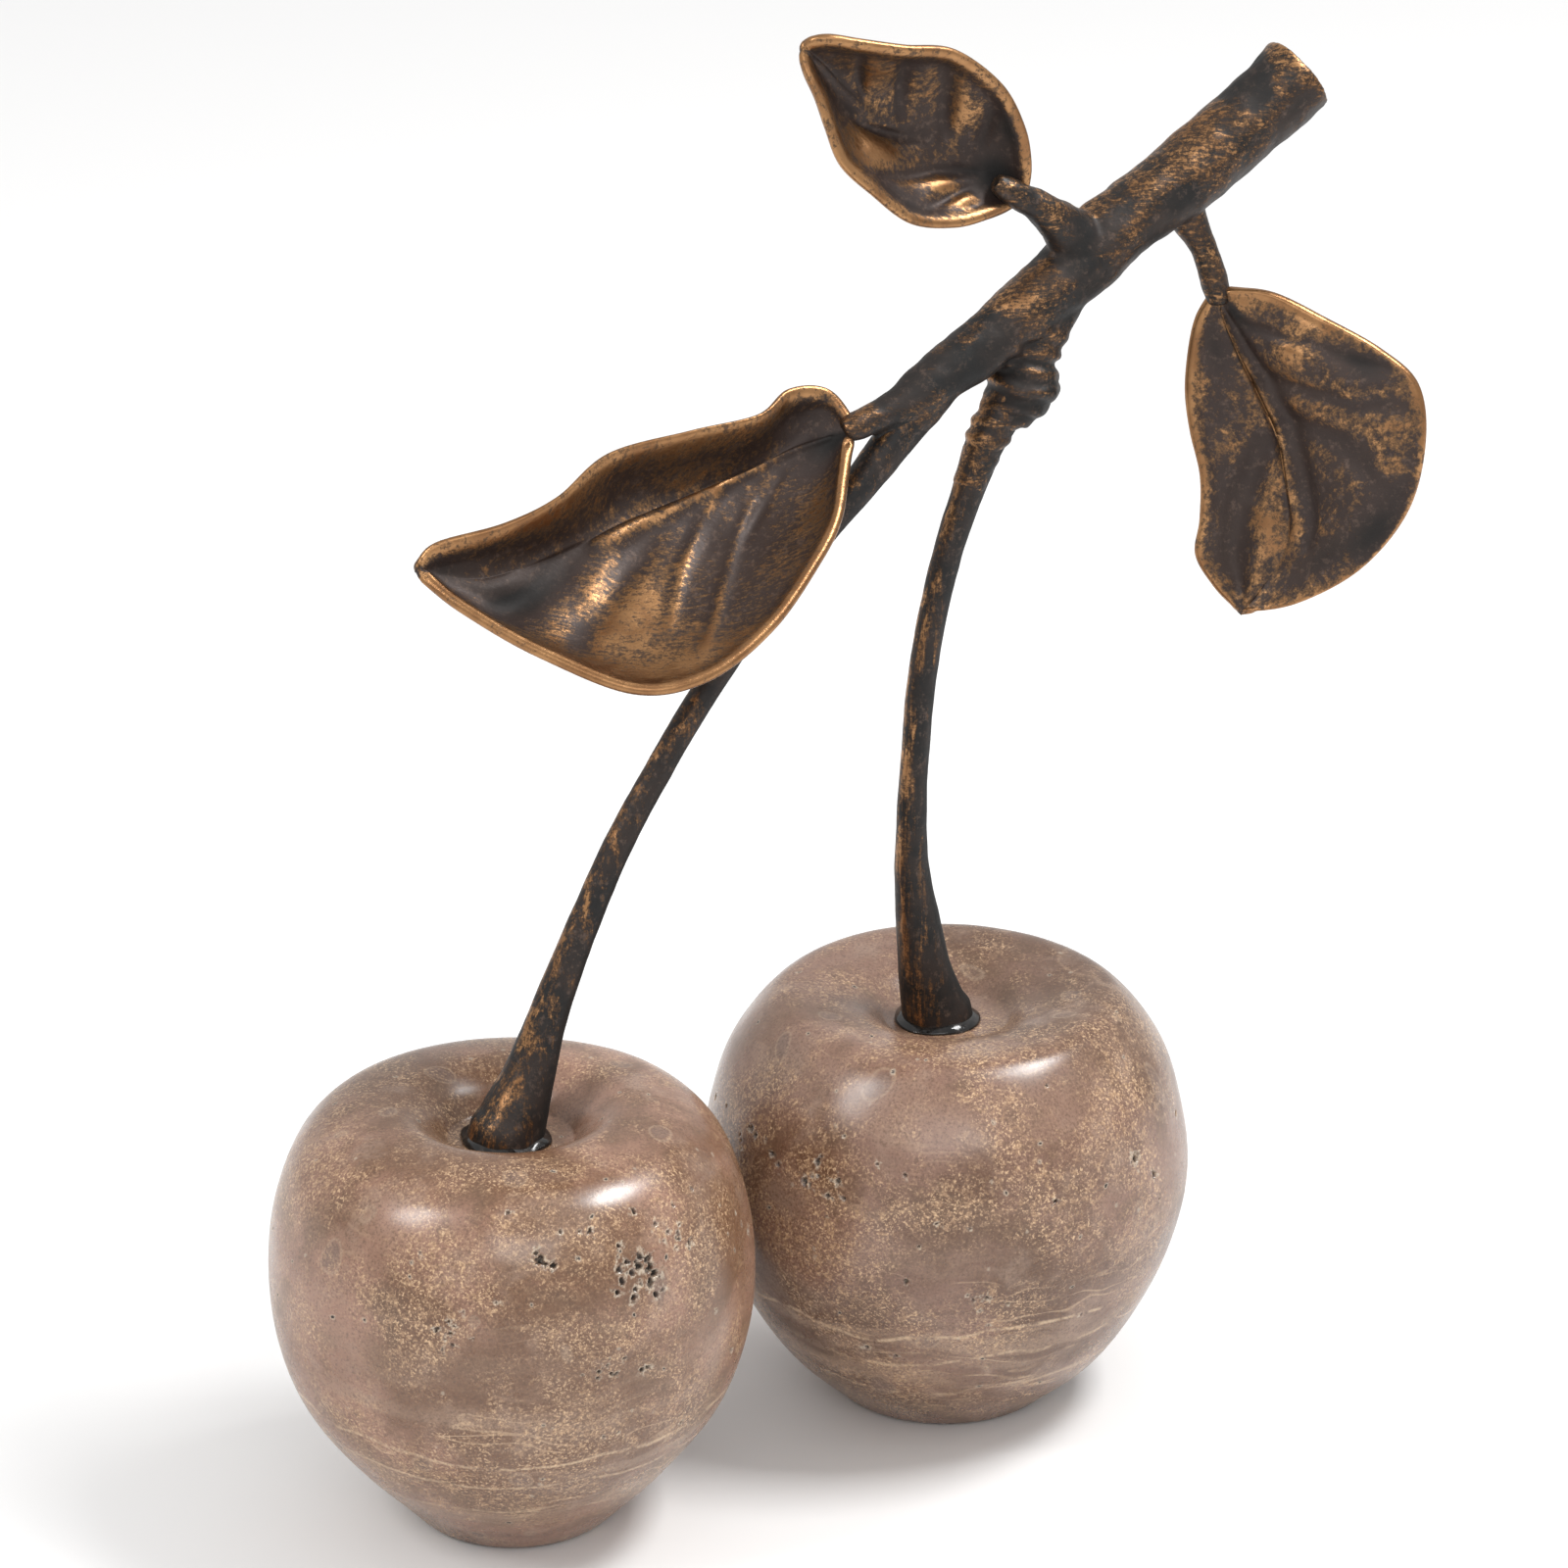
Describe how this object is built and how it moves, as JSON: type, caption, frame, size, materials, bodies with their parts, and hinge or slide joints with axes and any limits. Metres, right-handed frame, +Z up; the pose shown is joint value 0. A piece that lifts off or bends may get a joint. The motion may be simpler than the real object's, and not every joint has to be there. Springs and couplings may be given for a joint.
{
  "type": "stone cherry ornament",
  "caption": "Table ornament of polished travertine cherries on cast bronze stalks, with a short branch and veined leaves, standing on flats ground under the stones.",
  "frame": {"origin": "middle of the whole piece seen from above, on the surface that the base flats of both stones stand on", "axes": "+Z up; +X to the right as the leaves face the viewer, from the front cherry towards the cut end of the branch; +Y to the back"},
  "size_m": [0.2321, 0.1555, 0.2965],
  "materials": {
    "travertine": "polished brown travertine with open pores and faint bedding",
    "antiqued_bronze": "near-black patina rubbed back to gold on ridges and rims",
    "steel_stud": "zinc-plated threaded rod, hidden",
    "black_epoxy": "glossy black adhesive fillet"
  },
  "bodies": {
    "root": {"cherry_front": "travertine", "cherry_rear": "travertine", "stalk_front": "antiqued_bronze", "stalk_rear": "antiqued_bronze", "branch": "antiqued_bronze", "leaf_left": "antiqued_bronze", "leaf_right": "antiqued_bronze", "leaf_upper": "antiqued_bronze", "anchor_stud_front": "steel_stud", "anchor_stud_rear": "steel_stud", "glue_collar_front": "black_epoxy", "glue_collar_rear": "black_epoxy"}
  },
  "joints": []
}
